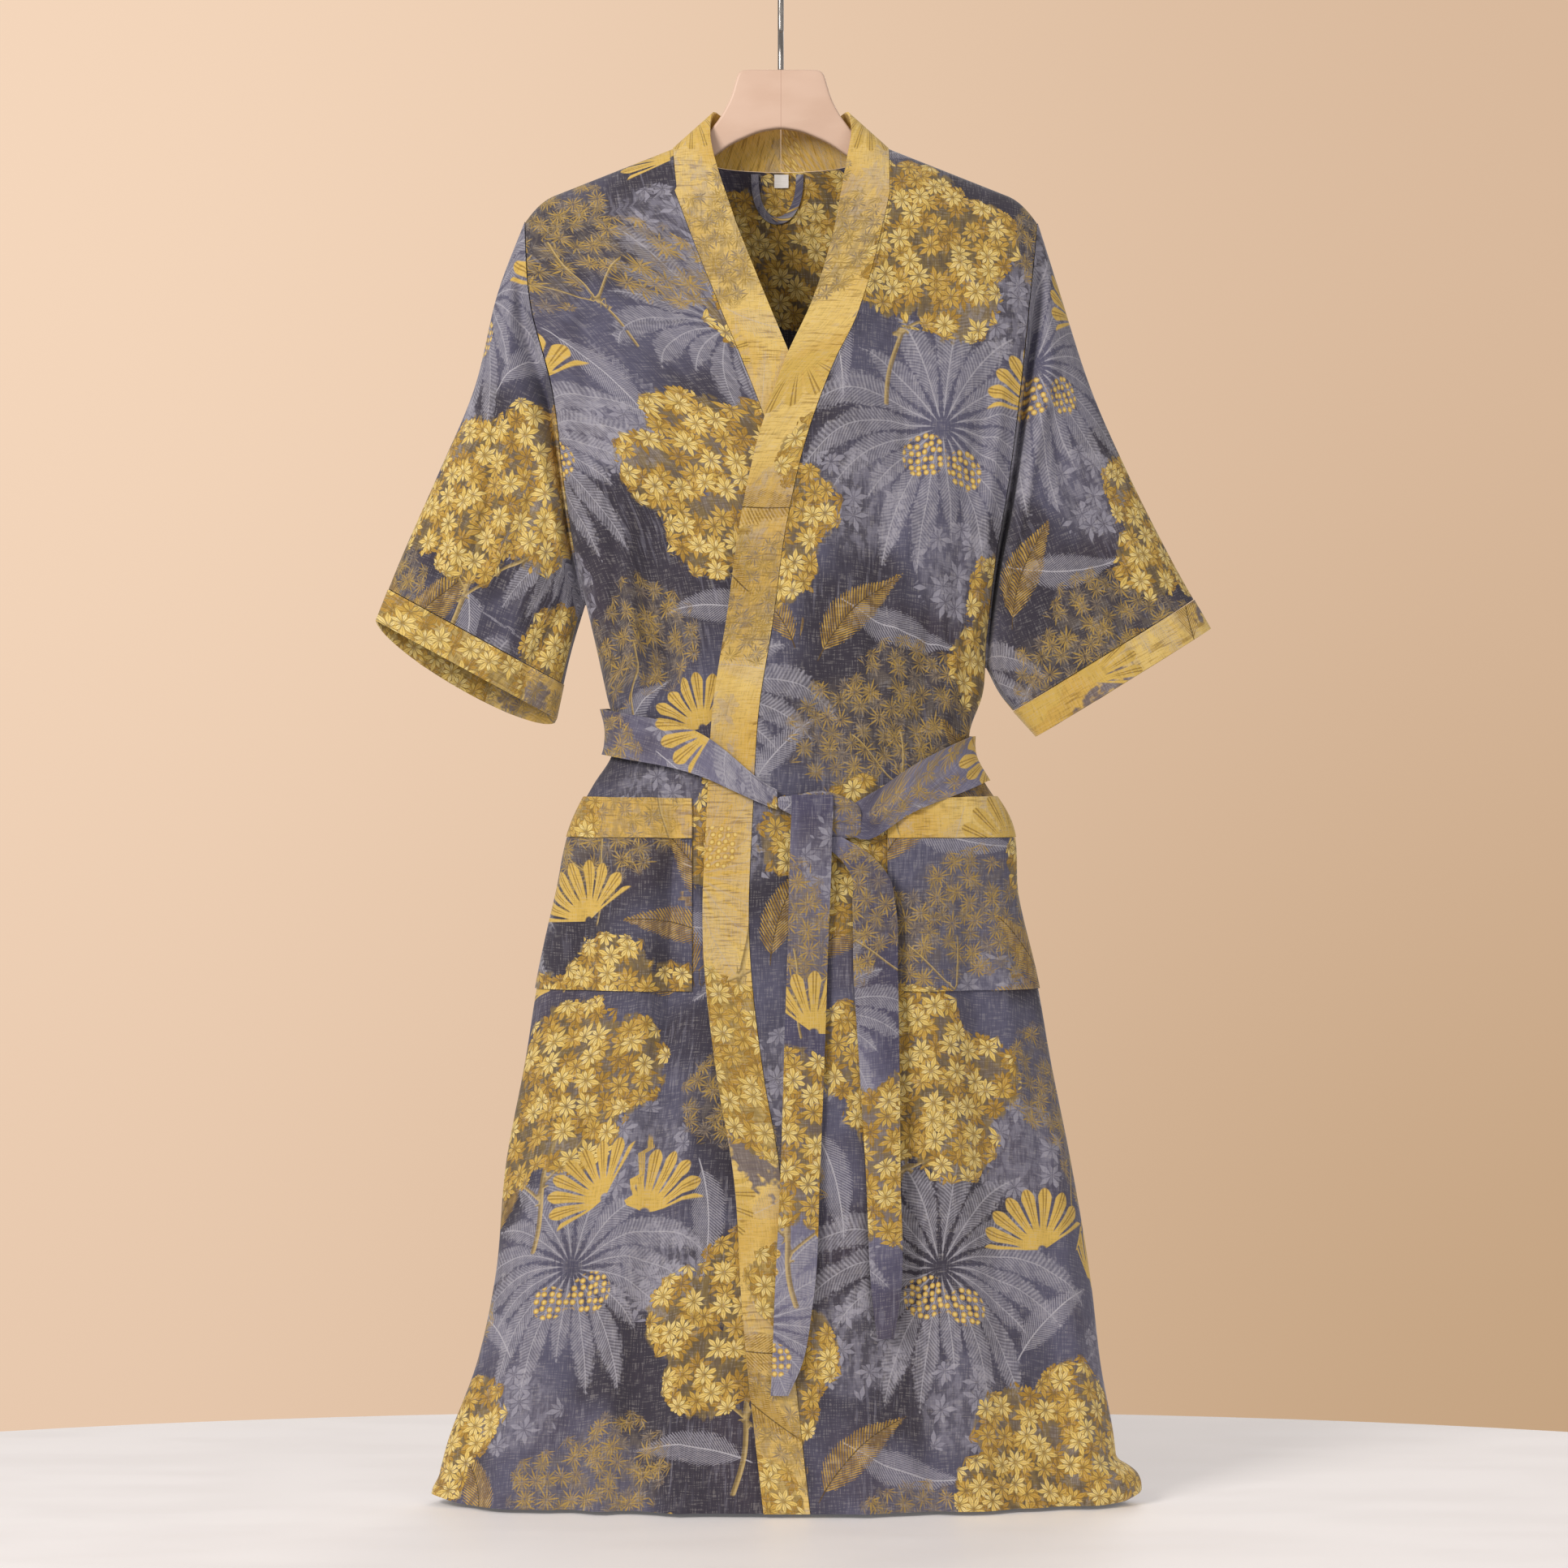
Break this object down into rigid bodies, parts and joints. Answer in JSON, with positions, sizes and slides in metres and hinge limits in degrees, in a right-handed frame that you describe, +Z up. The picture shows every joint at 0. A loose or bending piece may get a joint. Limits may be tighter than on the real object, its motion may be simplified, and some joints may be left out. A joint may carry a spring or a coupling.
{
  "type": "kimono robe on a hanger",
  "caption": "Wrap-front cotton kimono robe with elbow-length sleeves, patch pockets and a tied cloth belt, hanging on a moulded hanger.",
  "frame": {"origin": "where a rail bears inside the top of the hook, over the robe's middle", "axes": "+X to the right seen from the front, the robe's front faces -Y, +Z up along the robe's length"},
  "size_m": [0.7001, 0.1352, 1.2852],
  "materials": {
    "cloth": "soft matt double-gauze cotton with a printed leaf pattern",
    "trim": "soft matt double-gauze cotton, mostly the print's yellow",
    "belt": "soft matt double-gauze cotton with the same print",
    "label": "smooth white satin tape",
    "hanger": "satin moulded plastic",
    "hook": "plated wire"
  },
  "bodies": {
    "root": {"back_panel": "cloth", "front_left": "cloth", "front_right": "cloth", "band_left": "trim", "band_right": "trim", "sleeve_left": "cloth", "sleeve_right": "cloth", "cuff_left": "trim", "cuff_right": "trim", "pocket_left": "cloth", "pocket_right": "cloth", "pocket_band_left": "trim", "pocket_band_right": "trim", "belt_waist": "belt", "belt_knot": "belt", "belt_tail_front": "belt", "belt_tail_side": "belt", "hanging_loop": "trim", "size_label": "label", "hanger": "hanger", "hook": "hook"}
  },
  "joints": []
}
